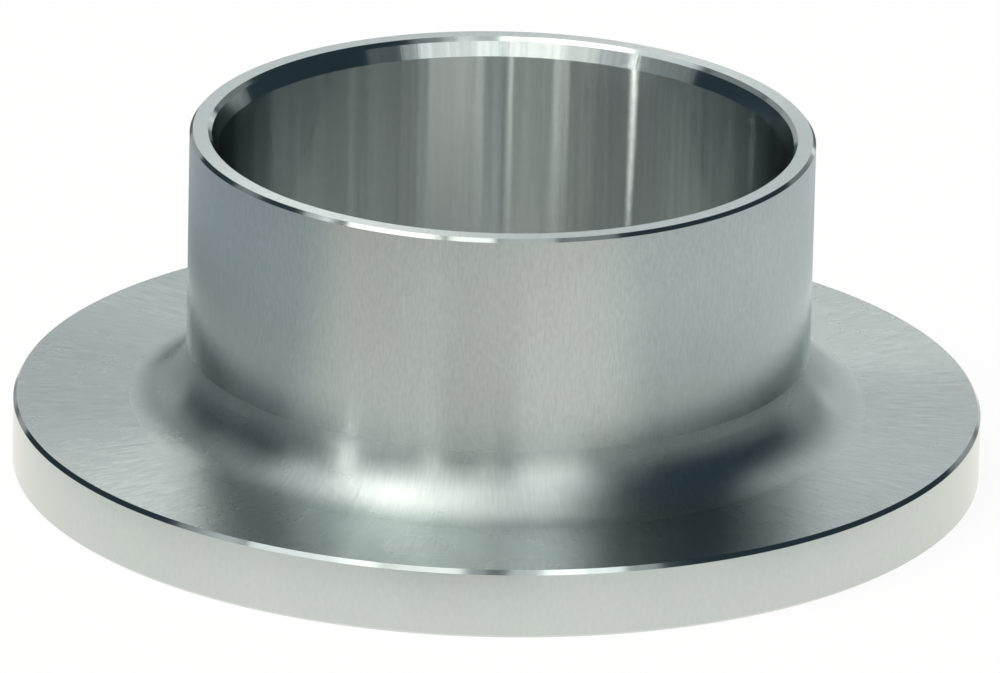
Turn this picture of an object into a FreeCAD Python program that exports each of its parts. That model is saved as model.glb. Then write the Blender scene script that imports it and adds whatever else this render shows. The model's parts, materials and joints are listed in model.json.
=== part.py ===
import FreeCAD, Part
import math
import os
import Sketcher

# Weld collar ring for a pipe of 88.9 mm outside diameter, one piece turned all over.
# The pipe is butt-welded to the neck's upper end. The collar at the neck's foot carries
# the seal on its flat underside, and a loose flange that slides over the neck presses on
# the collar's upper face.
# Millimetres. Z runs along the bore, up to the weld end.
# The origin is the centre of the flat sealing face under the collar.

# Driving sizes in millimetres and degrees: name, value, meaning
DRIVING_SIZES = [
    ("neck_diameter", 88.9, "outside of the neck, the same as the pipe's"),
    ("collar_diameter", 138.0, "outside of the collar"),
    ("overall_height", 50.0, "sealing face to weld end"),
    ("collar_thickness", 10.0, "sealing face to the face that the loose flange presses on"),
    ("root_radius", 7.0, "concave fillet between the neck and the collar"),
    ("weld_wall", 2.9, "wall at the weld end, the same as the pipe's"),
    ("wall_step", 1.2, "how much thicker the neck's wall is below the inside bevel"),
    ("bevel_angle", 25.0, "inside bevel at the weld end, measured from the bore"),
    ("weld_outer_break", 0.5, "chamfer round the outside of the weld end"),
    ("weld_inner_break", 0.3, "chamfer where the weld end meets the inside bevel"),
    ("collar_upper_chamfer", 0.6, "chamfer round the collar's upper edge"),
    ("collar_lower_break", 0.4, "chamfer round the sealing face"),
    ("bore_lower_break", 0.3, "chamfer where the bore meets the sealing face"),
]

# Two lengths closer than this, in millimetres, count as the same
MATCH = 1e-4


def make_sizes(document):
    """Spreadsheet of the driving sizes: meanings in column A, named values in column B."""
    sheet = document.addObject("Spreadsheet::Sheet", "sizes")
    for row, (alias, value, meaning) in enumerate(DRIVING_SIZES, start=1):
        sheet.set("A%d" % row, meaning)
        sheet.set("B%d" % row, str(value))
        sheet.setAlias("B%d" % row, alias)
    document.recompute()
    return sheet


def origin_plane(body, role):
    """The body's own origin plane with this role, such as XZ_Plane."""
    for feature in body.Origin.OriginFeatures:
        if feature.Role == role:
            return feature
    raise ValueError("no origin plane " + role)


def ring_edge(shape, radius, height):
    """Name of the shape's circular edge of this radius at this height."""
    for number, edge in enumerate(shape.Edges, start=1):
        curve = edge.Curve
        if not isinstance(curve, Part.Circle):
            continue
        if abs(curve.Radius - radius) < MATCH and abs(curve.Center.z - height) < MATCH:
            return "Edge%d" % number
    raise ValueError("no ring edge of radius %.3f at height %.3f" % (radius, height))


def draw_half_section(body, corners):
    """Half section of the ring in the XZ plane, as straight runs from corner to corner.

    In order they are the sealing face, collar edge, lap face, neck, weld end, inside bevel
    and bore. The corners only start the solver: the constraints tie every run to the sheet.
    """
    sketch = body.newObject("Sketcher::SketchObject", "half_section")
    sketch.AttachmentSupport = [(origin_plane(body, "XZ_Plane"), "")]
    sketch.MapMode = "FlatFace"
    runs = []
    for corner, next_corner in zip(corners, corners[1:] + corners[:1]):
        line = Part.LineSegment(FreeCAD.Vector(*corner, 0), FreeCAD.Vector(*next_corner, 0))
        runs.append(sketch.addGeometry(line, False))
    sealing_face, collar_edge, lap_face, neck, weld_end, bevel, bore = runs

    # A constraint names a line's ends 1 and 2, and the sketch's origin and X axis -1.
    start, end = 1, 2
    origin, x_axis = -1, -1
    for run, next_run in zip(runs, runs[1:] + runs[:1]):
        sketch.addConstraint(Sketcher.Constraint("Coincident", run, end, next_run, start))
    for level_run in (sealing_face, lap_face, weld_end):
        sketch.addConstraint(Sketcher.Constraint("Horizontal", level_run))
    for upright_run in (collar_edge, neck, bore):
        sketch.addConstraint(Sketcher.Constraint("Vertical", upright_run))
    sketch.addConstraint(Sketcher.Constraint("PointOnObject", sealing_face, start, x_axis))

    # Constraint's name, direction, the two points that it spans and its formula
    distances = [
        ("collar_radius", "DistanceX", (origin, start), (collar_edge, start),
         "sizes.collar_diameter / 2"),
        ("neck_radius", "DistanceX", (origin, start), (neck, end),
         "sizes.neck_diameter / 2"),
        ("weld_wall", "DistanceX", (weld_end, end), (weld_end, start),
         "sizes.weld_wall"),
        ("wall_step", "DistanceX", (bevel, end), (bevel, start),
         "sizes.wall_step"),
        ("bevel_depth", "DistanceY", (bevel, end), (bevel, start),
         "sizes.wall_step / tan(sizes.bevel_angle)"),
        ("collar_thickness", "DistanceY", (collar_edge, start), (collar_edge, end),
         "sizes.collar_thickness"),
        ("overall_height", "DistanceY", (origin, start), (weld_end, start),
         "sizes.overall_height"),
    ]
    for name, direction, lower, upper, formula in distances:
        span = sketch.getPoint(*upper) - sketch.getPoint(*lower)
        length = span.x if direction == "DistanceX" else span.y
        constraint = Sketcher.Constraint(direction, *lower, *upper, length)
        number = sketch.addConstraint(constraint)
        sketch.renameConstraint(number, name)
        sketch.setExpression("Constraints." + name, formula)
    return sketch


def dress_ring_edge(body, kind, name, radius, height, property_name, alias):
    """Fillet or chamfer the ring edge of this radius and height, sized by the sheet."""
    base = body.Tip
    feature = body.newObject("PartDesign::" + kind, name)
    feature.Base = (base, [ring_edge(base.Shape, radius, height)])
    feature.setExpression(property_name, "sizes." + alias)
    body.Document.recompute()
    return feature


def make_collar_ring(document, sheet):
    """Neck and collar turned in one piece: a revolved section, its root fillet and edges."""
    collar_radius = sheet.collar_diameter / 2
    neck_radius = sheet.neck_diameter / 2
    weld_bore_radius = neck_radius - sheet.weld_wall
    bore_radius = weld_bore_radius - sheet.wall_step
    bevel_depth = sheet.wall_step / math.tan(math.radians(sheet.bevel_angle))
    weld_end = sheet.overall_height
    lap_face = sheet.collar_thickness
    sealing_face = 0.0

    body = document.addObject("PartDesign::Body", "collar_ring")
    body.Label = "collar_ring"
    corners = [
        (bore_radius, sealing_face),
        (collar_radius, sealing_face),
        (collar_radius, lap_face),
        (neck_radius, lap_face),
        (neck_radius, weld_end),
        (weld_bore_radius, weld_end),
        (bore_radius, weld_end - bevel_depth),
    ]
    section = draw_half_section(body, corners)
    turned = body.newObject("PartDesign::Revolution", "turned_ring")
    turned.Profile = section
    turned.ReferenceAxis = (section, ["V_Axis"])
    turned.Angle = 360.0
    section.Visibility = False
    document.recompute()

    dress_ring_edge(body, "Fillet", "root_fillet", neck_radius, lap_face,
                    "Radius", "root_radius")
    for name, radius, height, alias in (
            ("weld_outer_chamfer", neck_radius, weld_end, "weld_outer_break"),
            ("weld_inner_chamfer", weld_bore_radius, weld_end, "weld_inner_break"),
            ("collar_upper_chamfer", collar_radius, lap_face, "collar_upper_chamfer"),
            ("collar_lower_chamfer", collar_radius, sealing_face, "collar_lower_break"),
            ("bore_lower_chamfer", bore_radius, sealing_face, "bore_lower_break")):
        dress_ring_edge(body, "Chamfer", name, radius, height, "Size", alias)
    body.Placement = FreeCAD.Placement()
    return body


def check_document(document, body):
    """Stop if a feature failed, or the root fillet or an edge chamfer did nothing."""
    for item in document.Objects:
        if "Invalid" in item.State or "Error" in item.State:
            raise RuntimeError(item.Name + " failed")
    if body.Shape.isNull() or not body.Shape.isValid() or len(body.Shape.Solids) != 1:
        raise RuntimeError(body.Label + " isn't one valid solid")
    for feature in body.Group:
        gained = 0.0
        if feature.isDerivedFrom("PartDesign::DressUp"):
            gained = feature.Shape.Volume - feature.Base[0].Shape.Volume
        if feature.isDerivedFrom("PartDesign::Fillet") and gained <= 0:
            raise RuntimeError(feature.Name + " adds nothing")
        if feature.isDerivedFrom("PartDesign::Chamfer") and gained >= 0:
            raise RuntimeError(feature.Name + " cuts nothing")


document = FreeCAD.newDocument("weld_collar_ring")
sheet = make_sizes(document)
collar_ring = make_collar_ring(document, sheet)
document.recompute()
check_document(document, collar_ring)
os.makedirs("parts", exist_ok=True)
collar_ring.Shape.exportStep("parts/" + collar_ring.Label + ".step")
print("%s: %.3f cm3" % (collar_ring.Label, collar_ring.Shape.Volume / 1000))
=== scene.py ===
import json
import math
import bpy
import numpy as np
from mathutils import Matrix, Vector


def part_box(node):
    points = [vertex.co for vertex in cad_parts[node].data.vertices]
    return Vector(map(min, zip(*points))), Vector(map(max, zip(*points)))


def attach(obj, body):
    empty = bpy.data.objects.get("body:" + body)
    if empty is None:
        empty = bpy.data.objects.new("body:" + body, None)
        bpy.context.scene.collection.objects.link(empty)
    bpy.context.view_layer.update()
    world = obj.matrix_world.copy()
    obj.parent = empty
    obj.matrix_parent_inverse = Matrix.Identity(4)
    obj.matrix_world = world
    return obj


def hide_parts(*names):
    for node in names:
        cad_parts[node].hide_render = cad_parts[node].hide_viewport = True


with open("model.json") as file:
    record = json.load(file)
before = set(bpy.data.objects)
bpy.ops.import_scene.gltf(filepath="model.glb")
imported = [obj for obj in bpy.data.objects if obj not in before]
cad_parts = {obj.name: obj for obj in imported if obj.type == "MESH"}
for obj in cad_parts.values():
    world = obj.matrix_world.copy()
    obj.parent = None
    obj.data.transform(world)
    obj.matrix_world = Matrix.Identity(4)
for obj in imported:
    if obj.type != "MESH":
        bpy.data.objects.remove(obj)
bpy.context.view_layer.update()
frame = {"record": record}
scene = bpy.context.scene
MM = 0.001

# Camera: the photograph's view, a long lens looking down on the ring from the front.
# Its angles, distance and lens come from fitting the circles of the neck and the collar
# to the photograph's 1000 x 673 frame. The camera is upright but for a slight roll.
CAMERA_ELEVATION = math.radians(20.22)
CAMERA_ROLL = math.radians(1.285)
CAMERA_DISTANCE = 2.337
CAMERA_LENS_MM = 588.8
CAMERA_SENSOR_MM = 36.0
CAMERA_REACH = 100.0
AIM_RIGHT = 0.22 * MM
AIM_UP = 18.07 * MM

forward = Vector((0, math.cos(CAMERA_ELEVATION), -math.sin(CAMERA_ELEVATION)))
level_right = Vector((1, 0, 0))
level_up = level_right.cross(forward)
right = math.cos(CAMERA_ROLL) * level_right + math.sin(CAMERA_ROLL) * level_up
up = -math.sin(CAMERA_ROLL) * level_right + math.cos(CAMERA_ROLL) * level_up
aim = AIM_RIGHT * level_right + AIM_UP * level_up
turn = Matrix((right, up, -forward)).transposed().to_4x4()
camera_data = bpy.data.cameras.new("camera")
camera_data.sensor_width = CAMERA_SENSOR_MM
camera_data.lens = CAMERA_LENS_MM
camera_data.clip_end = CAMERA_REACH
camera = bpy.data.objects.new("camera", camera_data)
camera.matrix_world = Matrix.Translation(aim - CAMERA_DISTANCE * forward) @ turn
scene.collection.objects.link(camera)
scene.camera = camera

# Collar ring: one piece of stainless steel, turned all over on a lathe and left bare.
# The tool leaves fine rings on every surface, so light smears across the rings and stays
# crisp along them. The edges are broken with small bright chamfers.
NODE = "collar_ring"
mounts = {mount["name"]: mount for mount in frame["record"]["mounts"]}
ring_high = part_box(NODE)[1]
collar_radius = ring_high.x
overall_height = ring_high.z
neck_radius = mounts["neck"]["dims"]["r_mm"] * MM
bore_radius = mounts["bore"]["dims"]["r_mm"] * MM
collar_thickness = mounts["lap_face"]["pos_m"][2]
WELD_WALL = 2.9 * MM
BEVEL_ANGLE = math.radians(25.0)
# The root's arc stops ROOT_START short of upright, and a wider arc blends it into the neck.
ROOT_RADIUS = 8.0 * MM
ROOT_START = math.radians(12)
ROOT_BLEND = 10.0 * MM
# Edge breaks. The depth of the weld end's inner one is measured down the bevel, and the lower
# two are at 45 degrees.
WELD_OUTER_WIDTH = 0.44 * MM
WELD_OUTER_HEIGHT = 0.52 * MM
WELD_INNER_WIDTH = 0.3 * MM
WELD_INNER_DEPTH = 0.62 * MM
COLLAR_CHAMFER_WIDTH = 0.45 * MM
COLLAR_CHAMFER_HEIGHT = 0.64 * MM
COLLAR_LOWER_BREAK = 0.4 * MM
BORE_LOWER_BREAK = 0.3 * MM
TURN_STEPS = 480
TURNING_MAP = "turning"
SHARP_CORNER = math.radians(15)


def straight(start, end, steps):
    """Points of a straight run in the half section: start plus equal shares of the way."""
    share = np.linspace(0, 1, steps + 1)[:, None]
    return np.array(start) + share * (np.array(end) - np.array(start))


def arc(centre, radius, start, end, steps):
    """Points of an arc in the half section: centre plus radius times (cos, sin) of the angle."""
    angle = np.linspace(start, end, steps + 1)
    return np.array(centre) + radius * np.stack([np.cos(angle), np.sin(angle)], axis=1)


weld_bore = neck_radius - WELD_WALL
bevel_run = np.array([math.sin(BEVEL_ANGLE), math.cos(BEVEL_ANGLE)])
bevel_top = np.array([weld_bore, overall_height]) - WELD_INNER_DEPTH * bevel_run
bevel_depth = (weld_bore - bore_radius) / math.tan(BEVEL_ANGLE)
bevel_foot = (bore_radius, overall_height - bevel_depth)
root_side = neck_radius + ROOT_BLEND - (ROOT_BLEND - ROOT_RADIUS) * math.cos(ROOT_START)
root_centre = (root_side, collar_thickness + ROOT_RADIUS)
blend_height = root_centre[1] + (ROOT_BLEND - ROOT_RADIUS) * math.sin(ROOT_START)
blend_centre = (neck_radius + ROOT_BLEND, blend_height)

# Corners of the half section as (radius, height), anticlockwise from the bore's foot
sealing_inner = (bore_radius + BORE_LOWER_BREAK, 0)
sealing_outer = (collar_radius - COLLAR_LOWER_BREAK, 0)
edge_foot = (collar_radius, COLLAR_LOWER_BREAK)
edge_top = (collar_radius, collar_thickness - COLLAR_CHAMFER_HEIGHT)
lap_outer = (collar_radius - COLLAR_CHAMFER_WIDTH, collar_thickness)
lap_inner = (root_side, collar_thickness)
neck_foot = (neck_radius, blend_height)
neck_top = (neck_radius, overall_height - WELD_OUTER_HEIGHT)
land_outer = (neck_radius - WELD_OUTER_WIDTH, overall_height)
land_inner = (weld_bore + WELD_INNER_WIDTH, overall_height)
bore_foot = (bore_radius, BORE_LOWER_BREAK)

# Each run of the section: its finish and its points
runs = [
    ("sealing", straight(sealing_inner, sealing_outer, 8)),
    ("edge_break", straight(sealing_outer, edge_foot, 1)),
    ("collar_edge", straight(edge_foot, edge_top, 4)),
    ("edge_break", straight(edge_top, lap_outer, 2)),
    ("lap", straight(lap_outer, lap_inner, 6)),
    ("fillet", arc(root_centre, ROOT_RADIUS, -math.pi / 2, ROOT_START - math.pi, 60)),
    ("shoulder", arc(blend_centre, ROOT_BLEND, ROOT_START - math.pi, -math.pi, 8)),
    ("neck", straight(neck_foot, neck_top, 12)),
    ("edge_break", straight(neck_top, land_outer, 2)),
    ("land", straight(land_outer, land_inner, 2)),
    ("edge_break", straight(land_inner, bevel_top, 1)),
    ("bevel", straight(bevel_top, bevel_foot, 4)),
    ("bore", straight(bevel_foot, bore_foot, 12)),
    ("edge_break", straight(bore_foot, sealing_inner, 1)),
]
outline = np.concatenate([points[:-1] for _, points in runs])
finishes = sorted({finish for finish, _ in runs})
finish_index = np.concatenate(
    [np.full(len(points) - 1, finishes.index(finish)) for finish, points in runs])


def turned_mesh(name, outline, finish_index, steps):
    """Closed outline turned round Z: x = r cos a, y = r sin a, z = height.

    The UV map holds the distance along the outline in metres and the share of the turn, so
    its first axis crosses the tool's rings everywhere.
    """
    count = len(outline)
    angle = np.arange(steps) * (2 * math.pi / steps)
    radius, height = outline[:, :1], outline[:, 1:]
    x = radius * np.cos(angle)
    y = radius * np.sin(angle)
    z = np.broadcast_to(height, x.shape)
    points = np.stack([x, y, z], axis=2).reshape(-1, 3)

    row, column = np.meshgrid(np.arange(count), np.arange(steps), indexing="ij")
    next_row = (row + 1) % count
    next_column = (column + 1) % steps
    quads = np.stack([row * steps + column, row * steps + next_column,
                      next_row * steps + next_column, next_row * steps + column], axis=2)

    closed = np.concatenate([outline, outline[:1]])
    lengths = np.hypot(*np.diff(closed, axis=0).T)
    along = np.concatenate([[0], np.cumsum(lengths)])
    u = np.stack([along[row], along[row], along[row + 1], along[row + 1]], axis=2)
    v = np.stack([column, column + 1, column + 1, column], axis=2) / steps

    mesh = bpy.data.meshes.new(name)
    mesh.from_pydata(points, [], quads.reshape(-1, 4))
    uv_map = mesh.uv_layers.new(name=TURNING_MAP)
    uv_map.data.foreach_set("uv", np.stack([u, v], axis=3).ravel())
    mesh.polygons.foreach_set("material_index", np.repeat(finish_index, steps))
    mesh.shade_smooth()
    mesh.set_sharp_from_angle(angle=SHARP_CORNER)
    return mesh


mesh = turned_mesh("collar_ring_turned", outline, finish_index, TURN_STEPS)
ring = bpy.data.objects.new(mesh.name, mesh)
scene.collection.objects.link(ring)

# The bare metal drifts between a greenish and a bluish grey, in patches.
GREENISH_STEEL = (0.52, 0.61, 0.59, 1)
BLUISH_STEEL = (0.56, 0.60, 0.62, 1)
PATCHES_PER_METRE = 70
PATCH_DETAIL = 4
RING_PITCH = 0.03 * MM
# A normal map holds this in red and in green where nothing slopes.
NO_SLOPE = 0.5
RIPPLE_DETAIL = 3
# Most of the ripple's noise lies between these two values, which take the darkest and the
# brightest grain.
RIPPLE_LOW = 0.3
RIPPLE_HIGH = 0.7


def turned_steel(name, roughness, anisotropy, ring_tilt, ripple_width, ripple_length,
                 ripple_depth, grain, mottle, shine):
    """Bare turned steel: fine tool rings, and a ripple stretched across them.

    A round-nosed tool leaves hollow rings, so the slope across each ring runs evenly from
    minus the tilt to plus the tilt. The ripple is noise read at the turn's direction, so it
    meets itself at the seam. Its width, length and depth are in millimetres.
    """
    material = bpy.data.materials.new(name)
    material.use_nodes = True
    nodes = material.node_tree.nodes
    links = material.node_tree.links

    def vector_step(operation):
        step = nodes.new("ShaderNodeVectorMath")
        step.operation = operation
        return step

    steel = nodes["Principled BSDF"]
    steel.inputs["Metallic"].default_value = 1
    steel.inputs["Anisotropic"].default_value = anisotropy
    tangent = nodes.new("ShaderNodeTangent")
    tangent.direction_type = "UV_MAP"
    tangent.uv_map = TURNING_MAP
    links.new(tangent.outputs["Tangent"], steel.inputs["Tangent"])

    place = nodes.new("ShaderNodeTexCoord")
    flatten = vector_step("MULTIPLY")
    flatten.inputs[1].default_value = (1, 1, 0)
    direction = vector_step("NORMALIZE")
    round_ring = vector_step("SCALE")
    round_ring.inputs["Scale"].default_value = neck_radius / (ripple_width * MM)
    turning = nodes.new("ShaderNodeUVMap")
    turning.uv_map = TURNING_MAP
    across = vector_step("DOT_PRODUCT")
    across.inputs[1].default_value = (1 / (ripple_length * MM), 0, 0)
    lift = nodes.new("ShaderNodeCombineXYZ")
    spot = vector_step("ADD")
    links.new(place.outputs["Object"], flatten.inputs[0])
    links.new(flatten.outputs["Vector"], direction.inputs[0])
    links.new(direction.outputs["Vector"], round_ring.inputs[0])
    links.new(turning.outputs["UV"], across.inputs[0])
    links.new(across.outputs["Value"], lift.inputs["Z"])
    links.new(round_ring.outputs["Vector"], spot.inputs[0])
    links.new(lift.outputs["Vector"], spot.inputs[1])

    ripple = nodes.new("ShaderNodeTexNoise")
    ripple.inputs["Scale"].default_value = 1
    ripple.inputs["Detail"].default_value = RIPPLE_DETAIL
    links.new(spot.outputs["Vector"], ripple.inputs["Vector"])
    ripple_bump = nodes.new("ShaderNodeBump")
    ripple_bump.inputs["Distance"].default_value = ripple_depth * MM
    links.new(ripple.outputs["Fac"], ripple_bump.inputs["Height"])

    ring_count = vector_step("DOT_PRODUCT")
    ring_count.inputs[1].default_value = (1 / RING_PITCH, 0, 0)
    ring_share = nodes.new("ShaderNodeMath")
    ring_share.operation = "FRACT"
    ring_slope = nodes.new("ShaderNodeMapRange")
    ring_slope.inputs["To Min"].default_value = NO_SLOPE - ring_tilt / 2
    ring_slope.inputs["To Max"].default_value = NO_SLOPE + ring_tilt / 2
    ring_facing = nodes.new("ShaderNodeCombineXYZ")
    ring_facing.inputs["Y"].default_value = NO_SLOPE
    ring_facing.inputs["Z"].default_value = 1
    rings = nodes.new("ShaderNodeNormalMap")
    rings.uv_map = TURNING_MAP
    links.new(turning.outputs["UV"], ring_count.inputs[0])
    links.new(ring_count.outputs["Value"], ring_share.inputs[0])
    links.new(ring_share.outputs["Value"], ring_slope.inputs["Value"])
    links.new(ring_slope.outputs["Result"], ring_facing.inputs["X"])
    links.new(ring_facing.outputs["Vector"], rings.inputs["Color"])
    links.new(rings.outputs["Normal"], ripple_bump.inputs["Normal"])
    links.new(ripple_bump.outputs["Normal"], steel.inputs["Normal"])

    patches = nodes.new("ShaderNodeTexNoise")
    patches.inputs["Scale"].default_value = PATCHES_PER_METRE
    patches.inputs["Detail"].default_value = PATCH_DETAIL
    links.new(place.outputs["Object"], patches.inputs["Vector"])
    dullness = nodes.new("ShaderNodeMapRange")
    dullness.inputs["To Min"].default_value = roughness - mottle
    dullness.inputs["To Max"].default_value = roughness + mottle
    tint = nodes.new("ShaderNodeMix")
    tint.data_type = "RGBA"
    tint.inputs["A"].default_value = GREENISH_STEEL
    tint.inputs["B"].default_value = BLUISH_STEEL
    shade = nodes.new("ShaderNodeMapRange")
    shade.inputs["From Min"].default_value = RIPPLE_LOW
    shade.inputs["From Max"].default_value = RIPPLE_HIGH
    shade.inputs["To Min"].default_value = shine * (1 - grain)
    shade.inputs["To Max"].default_value = shine * (1 + grain)
    shaded = vector_step("SCALE")
    links.new(patches.outputs["Fac"], tint.inputs["Factor"])
    links.new(ripple.outputs["Fac"], shade.inputs["Value"])
    links.new(tint.outputs["Result"], shaded.inputs[0])
    links.new(shade.outputs["Result"], shaded.inputs["Scale"])
    links.new(shaded.outputs["Vector"], steel.inputs["Base Color"])
    links.new(patches.outputs["Fac"], dullness.inputs["Value"])
    links.new(dullness.outputs["Result"], steel.inputs["Roughness"])
    return material


# Finish: roughness, how one-sided the gloss is, the tool rings' greatest slope, the ripple's
# width, length and depth, how far the grain and the roughness wander, how bright the metal is
FINISHES = {
    "neck": (0.20, 0.8, 0.05, 0.3, 1.2, 0.0008, 0.05, 0.03, 1),
    "shoulder": (0.28, 0.75, 0.18, 0.3, 2, 0.001, 0.05, 0.03, 1),
    "fillet": (0.28, 0.75, 0.25, 0.3, 3, 0.0015, 0.06, 0.03, 1),
    "lap": (0.27, 0.85, 0.25, 0.3, 4, 0.001, 0.08, 0.03, 1),
    "collar_edge": (0.20, 0.8, 0.05, 0.3, 1, 0.0005, 0.02, 0.03, 1),
    "sealing": (0.35, 0.9, 0.05, 0.5, 6, 0.001, 0.05, 0.03, 1),
    "land": (0.22, 0.8, 0.05, 0.3, 3, 0.001, 0.04, 0.03, 1.05),
    "bevel": (0.15, 0.8, 0.03, 0.7, 30, 0.008, 0.06, 0.02, 1),
    "bore": (0.11, 0.95, 0.5, 0.8, 30, 0.001, 0.05, 0.02, 1),
    "edge_break": (0.12, 0.5, 0.01, 1, 1, 0.0005, 0.02, 0.01, 1.05),
}
for finish in finishes:
    mesh.materials.append(turned_steel(finish + "_finish", *FINISHES[finish]))
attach(ring, "root")
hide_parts(NODE)

# Floor: a wide sheet of white paper that the ring stands on, lit from below like a
# photographer's table. The camera sees it glow evenly white, and a share of plain matt paper
# keeps the ring's soft shadow. What the steel mirrors of it is a glow with painted light and
# painted shade: a painted pool of light by the ring, painted shadows round the ring and in
# the bore, brighter and darker sides, and a painted warm and cool tint.
FLOOR_HALF = 6.0
PAPER = (0.8, 0.8, 0.8, 1)
WHITE = (1, 1, 1, 1)
GLOW_SHARE = 0.85
GLOW_SEEN = 1.08
# Mirrored glow close to the ring and far from it, between these distances from its middle: a
# painted pool of light, brighter close to the ring.
GLOW_NEAR = 1.17
GLOW_FAR = 0.73
NEAR_REACH = 0.075
FAR_REACH = 0.13
# Painted shade: it falls away once more between the next two distances, and a painted shadow
# of the ring makes it dim inside the bore.
OUTER_REACH = 0.18
OUTER_END = 0.25
OUTER_SHADE = 0.2
BORE_SHADE = 0.25
# Painted light and painted shade: far off it is brighter by this share towards the bright side,
# and darker away from it.
BRIGHT_SIDE = (0.77, -0.64, 0)
SIDE_CHANGE = 0.35
# A painted shadow of the ring, a darker band, lies round the ring: it sets in between the first
# two distances, and fades out between the last two.
BAND_START = 0.09
BAND_FULL = 0.098
BAND_FALL = 0.105
BAND_END = 0.143
BAND_DEPTH = 0.6
# In front the painted shadow band is lighter, and painted light makes the glow past the ring
# brighter. A start or an end here and below is the cosine of the angle off the side.
FRONT_SIDE = (-0.17, -0.985, 0)
FRONT_START = 0.5
FRONT_END = 0.77
FRONT_LIFT = 0.3
FRONT_GAIN = 0.15
# Behind the painted shadow band is lighter too, and in a narrow notch in front it is deeper,
# a painted shade.
BACK_SIDE = (0.5, 0.87, 0)
BACK_START = 0.0
BACK_END = 0.9
BACK_LIFT = 0.4
NOTCH_SIDE = (-0.1, -0.995, 0)
NOTCH_START = 0.965
NOTCH_END = 0.995
NOTCH_DEPTH = 0.25
# The mirrored glow's colour is painted light: warm close to the ring and in front, and
# elsewhere partly cool, the most so away from the bright side.
WARM_GLOW = (1.0, 0.95, 0.88, 1)
COOL_GLOW = (0.82, 0.93, 1.0, 1)
COOL_SHARE = 0.7
COOL_CHANGE = 0.3
floor_mesh = bpy.data.meshes.new("floor")
floor_mesh.from_pydata(
    [(-FLOOR_HALF, -FLOOR_HALF, 0), (FLOOR_HALF, -FLOOR_HALF, 0),
     (FLOOR_HALF, FLOOR_HALF, 0), (-FLOOR_HALF, FLOOR_HALF, 0)], [], [(0, 1, 2, 3)])
floor = bpy.data.objects.new("floor", floor_mesh)
scene.collection.objects.link(floor)


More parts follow.
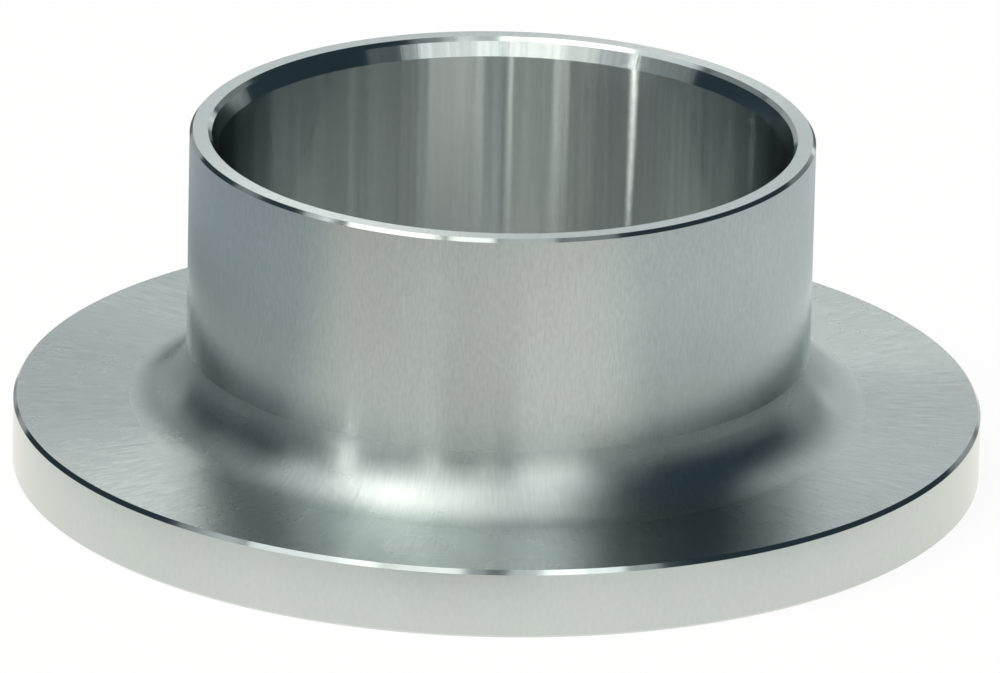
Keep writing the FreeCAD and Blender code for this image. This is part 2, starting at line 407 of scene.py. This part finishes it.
def painted_glow_paper(name):
    """Matt paper that glows, evenly for the camera and with painted light and shade for mirrors.

    Glow in a mirror = near glow falling to far glow with the distance from the ring's middle,
    times the bore's shade, the side's slow change, the outer shade, one minus the band times
    its depth, and one plus the gain in front.
    """
    material = bpy.data.materials.new(name)
    material.use_nodes = True
    nodes = material.node_tree.nodes
    links = material.node_tree.links
    nodes.clear()

    def ramp(from_start, from_end, to_start, to_end, source):
        step = nodes.new("ShaderNodeMapRange")
        step.interpolation_type = "SMOOTHSTEP"
        step.inputs["From Min"].default_value = from_start
        step.inputs["From Max"].default_value = from_end
        step.inputs["To Min"].default_value = to_start
        step.inputs["To Max"].default_value = to_end
        links.new(source, step.inputs["Value"])
        return step.outputs["Result"]

    def combine(operation, first, second):
        step = nodes.new("ShaderNodeMath")
        step.operation = operation
        links.new(first, step.inputs[0])
        links.new(second, step.inputs[1])
        return step.outputs["Value"]

    def scaled(source, factor, offset):
        step = nodes.new("ShaderNodeMath")
        step.operation = "MULTIPLY_ADD"
        step.inputs[1].default_value = factor
        step.inputs[2].default_value = offset
        links.new(source, step.inputs[0])
        return step.outputs["Value"]

    def towards(side):
        step = nodes.new("ShaderNodeVectorMath")
        step.operation = "DOT_PRODUCT"
        step.inputs[1].default_value = side
        links.new(heading.outputs["Vector"], step.inputs[0])
        return step.outputs["Value"]

    place = nodes.new("ShaderNodeTexCoord")
    middle_distance = nodes.new("ShaderNodeVectorMath")
    middle_distance.operation = "LENGTH"
    links.new(place.outputs["Object"], middle_distance.inputs[0])
    heading = nodes.new("ShaderNodeVectorMath")
    heading.operation = "NORMALIZE"
    links.new(place.outputs["Object"], heading.inputs[0])
    from_middle = middle_distance.outputs["Value"]
    # Painted light: the mirrored glow is brighter close to the ring.
    painted_near_light = ramp(NEAR_REACH, FAR_REACH, GLOW_NEAR, GLOW_FAR, from_middle)
    far_share = ramp(NEAR_REACH, FAR_REACH, 0, SIDE_CHANGE, from_middle)
    # Painted light towards the bright side and painted shade away from it.
    side = scaled(combine("MULTIPLY", far_share, towards(BRIGHT_SIDE)), 1, 1)
    # Painted shadow of the ring inside the bore, and painted shade far off.
    bore_shade = ramp(bore_radius, collar_radius, BORE_SHADE, 1, from_middle)
    outer_shade = ramp(OUTER_REACH, OUTER_END, 1, OUTER_SHADE, from_middle)
    frontness = ramp(FRONT_START, FRONT_END, 0, 1, towards(FRONT_SIDE))
    backness = ramp(BACK_START, BACK_END, 0, 1, towards(BACK_SIDE))
    painted_notch_shade = ramp(NOTCH_START, NOTCH_END, 0, 1, towards(NOTCH_SIDE))
    # Painted shadow band round the ring, with a painted notch of deeper shade in front, and
    # painted light past the ring in front.
    past_edge = ramp(BAND_START, BAND_FULL, 0, 1, from_middle)
    painted_shadow_band = combine("MULTIPLY", past_edge, ramp(BAND_FALL, BAND_END, 1, 0, from_middle))
    depth = scaled(frontness, -FRONT_LIFT, BAND_DEPTH)
    depth = combine("ADD", depth, scaled(backness, -BACK_LIFT, 0))
    depth = combine("ADD", depth, scaled(painted_notch_shade, NOTCH_DEPTH, 0))
    band_shade = scaled(combine("MULTIPLY", painted_shadow_band, depth), -1, 1)
    painted_front_light = scaled(combine("MULTIPLY", past_edge, frontness), FRONT_GAIN, 1)
    # The mirrored glow is the product of these pieces of painted light and painted shade.
    mirrored_glow = combine("MULTIPLY", painted_near_light, bore_shade)
    for shade in (side, outer_shade, band_shade, painted_front_light):
        mirrored_glow = combine("MULTIPLY", mirrored_glow, shade)

    # Painted warm and cool tint of the mirrored glow.
    cool_share = combine("MULTIPLY", past_edge, scaled(frontness, -1, 1))
    cool_side = scaled(towards(BRIGHT_SIDE), -COOL_CHANGE, COOL_SHARE)
    cool_share = combine("MULTIPLY", cool_share, cool_side)
    mirrored_colour = nodes.new("ShaderNodeMix")
    mirrored_colour.data_type = "RGBA"
    mirrored_colour.inputs["A"].default_value = WARM_GLOW
    mirrored_colour.inputs["B"].default_value = COOL_GLOW
    links.new(cool_share, mirrored_colour.inputs["Factor"])

    ray = nodes.new("ShaderNodeLightPath")
    glow = nodes.new("ShaderNodeMix")
    glow.inputs["B"].default_value = GLOW_SEEN
    links.new(ray.outputs["Is Camera Ray"], glow.inputs["Factor"])
    links.new(mirrored_glow, glow.inputs["A"])
    light = nodes.new("ShaderNodeEmission")
    links.new(glow.outputs["Result"], light.inputs["Strength"])
    colour = nodes.new("ShaderNodeMix")
    colour.data_type = "RGBA"
    colour.inputs["B"].default_value = WHITE
    links.new(ray.outputs["Is Camera Ray"], colour.inputs["Factor"])
    links.new(mirrored_colour.outputs["Result"], colour.inputs["A"])
    links.new(colour.outputs["Result"], light.inputs["Color"])

    mirrored = combine("MAXIMUM", ray.outputs["Is Glossy Ray"],
                       ray.outputs["Is Transmission Ray"])
    seen = combine("MAXIMUM", ray.outputs["Is Camera Ray"], mirrored)
    paper = nodes.new("ShaderNodeBsdfDiffuse")
    paper.inputs["Color"].default_value = PAPER
    mix = nodes.new("ShaderNodeMixShader")
    links.new(scaled(seen, GLOW_SHARE, 0), mix.inputs["Fac"])
    links.new(paper.outputs["BSDF"], mix.inputs[1])
    links.new(light.outputs["Emission"], mix.inputs[2])
    output = nodes.new("ShaderNodeOutputMaterial")
    links.new(mix.outputs["Shader"], output.inputs["Surface"])
    return material


floor_mesh.materials.append(painted_glow_paper("floor_paper"))

# Studio: soft boxes of several shapes stand round the ring and hang over it, each aimed at
# it. The steel mirrors them as its bands of light, with the dim room dark between them.
LAMP_DISTANCE = 3.0
# Lamps brighter than the key level are a little warm, and the others are close to neutral.
KEY_LEVEL = 1.25
KEY_COLOUR = (1.0, 0.95, 0.87)
FILL_COLOUR = (1.0, 1.0, 0.98)
ROOM = (0.026, 0.044, 0.055, 1)
OVERHEAD_HALF = math.radians(15)
OVERHEAD_LEVEL = 1.3
# Name, its two sides in degrees from the back round to the right, its lower and upper edges
# in degrees above the floor, and its brightness, where 1 is as bright as white
LAMPS = [
    ("upper_front", -180, -150, 57, 75, 1.6),
    ("upper_left", -150, -90, 60, 75, 2.6),
    ("upper_left_back", -90, -60, 60, 75, 2.0),
    ("upper_back", -60, -30, 46, 75, 0.55),
    ("upper_front_right", 150, 180, 46, 75, 0.6),
    ("rim_right", 143, 166, 44, 51, 1.2),
    ("rim_left", -172, -145, 46, 52, 1.3),
    ("upper_right", 120, 150, 46, 75, 0.25),
    ("left_high", -150, -105, 46, 60, 2.15),
    ("left_high_back", -105, -60, 46, 60, 0.9),
    ("front_left_high", -180, -150, 46, 60, 0.35),
    ("left_wing", -150, -112, 35, 46, 1.15),
    ("left_wing_back", -112, -90, 35, 46, 0.65),
    ("front_left_wing", -180, -150, 35, 46, 0.7),
    ("front_right_wing", 150, 180, 35, 46, 1.45),
    ("right_wing", 135, 150, 26, 46, 0.5),
    ("front_key", -180, -155, 26, 35, 2.15),
    ("left_key", -155, -140, 26, 35, 1.3),
    ("left_key_edge", -140, -122, 26, 35, 0.8),
    ("left_dim", -122, -95, 19, 35, 0.3),
    ("right_key", 142, 180, 26, 35, 0.95),
    ("right_key_middle", 168, 180, 26, 35, 0.7),
    ("front_low", -180, -142, 19, 26, 0.25),
    ("right_strip", 149, 172, 8, 26, 1.5),
    ("right_foot", 149, 172, 0, 8, 0.7),
    ("right_low", 122, 149, 13, 26, 0.3),
    ("left_strip", -160, -153.5, 0, 24, 1.7),
    ("left_foot", -150, -115, 0, 6, 1.2),
    ("left_line", -126.6, -124.8, 4, 24, 10.0),
    ("thin_line", -178, -176.5, 0, 24, 2.5),
    ("back_left", -75, -15, 27, 46, 0.25),
    ("back_left_step", -48, -15, 19, 27, 0.32),
    ("back_left_low", -40, -12, 0, 19, 0.4),
    ("back_glow", -14, -1, 25, 42, 1.4),
    ("back_strip", -8, 5, 0, 40, 0.75),
    ("back_right", 5, 30, 0, 46, 0.6),
    ("back_right_far", 30, 50, 8, 46, 0.2),
    ("back_low_right", 22, 60, 0, 8, 0.35),
]


def soft_box(name, around, above, half_width, half_height, level):
    """A flat lamp that faces the ring from this direction, its halves in lamp distances.

    Its power is its area times pi times the brightness of its face.
    """
    direction = Vector((math.cos(above) * math.sin(around), math.cos(above) * math.cos(around),
                        math.sin(above)))
    lamp_data = bpy.data.lights.new(name, "AREA")
    lamp_data.shape = "RECTANGLE"
    lamp_data.color = KEY_COLOUR if level > KEY_LEVEL else FILL_COLOUR
    lamp_data.size = 2 * LAMP_DISTANCE * half_width
    lamp_data.size_y = 2 * LAMP_DISTANCE * half_height
    lamp_data.energy = level * math.pi * lamp_data.size * lamp_data.size_y
    lamp = bpy.data.objects.new(name, lamp_data)
    lamp.matrix_world = (Matrix.Translation(LAMP_DISTANCE * direction)
                         @ direction.to_track_quat("Z", "Y").to_matrix().to_4x4())
    lamp.visible_camera = False
    scene.collection.objects.link(lamp)


overhead_reach = math.tan(OVERHEAD_HALF)
soft_box("overhead", 0, math.pi / 2, overhead_reach, overhead_reach, OVERHEAD_LEVEL)
for name, side_start, side_end, lower, upper, level in LAMPS:
    around = math.radians((side_start + side_end) / 2)
    above = math.radians((lower + upper) / 2)
    half_turn = math.radians((side_end - side_start) / 2)
    half_rise = math.radians((upper - lower) / 2)
    soft_box(name, around, above, math.cos(above) * math.sin(half_turn), math.tan(half_rise),
             level)

world = bpy.data.worlds.new("dim_room")
world.use_nodes = True
world.node_tree.nodes["Background"].inputs["Color"].default_value = ROOM
scene.world = world
scene.view_settings.view_transform = "Standard"
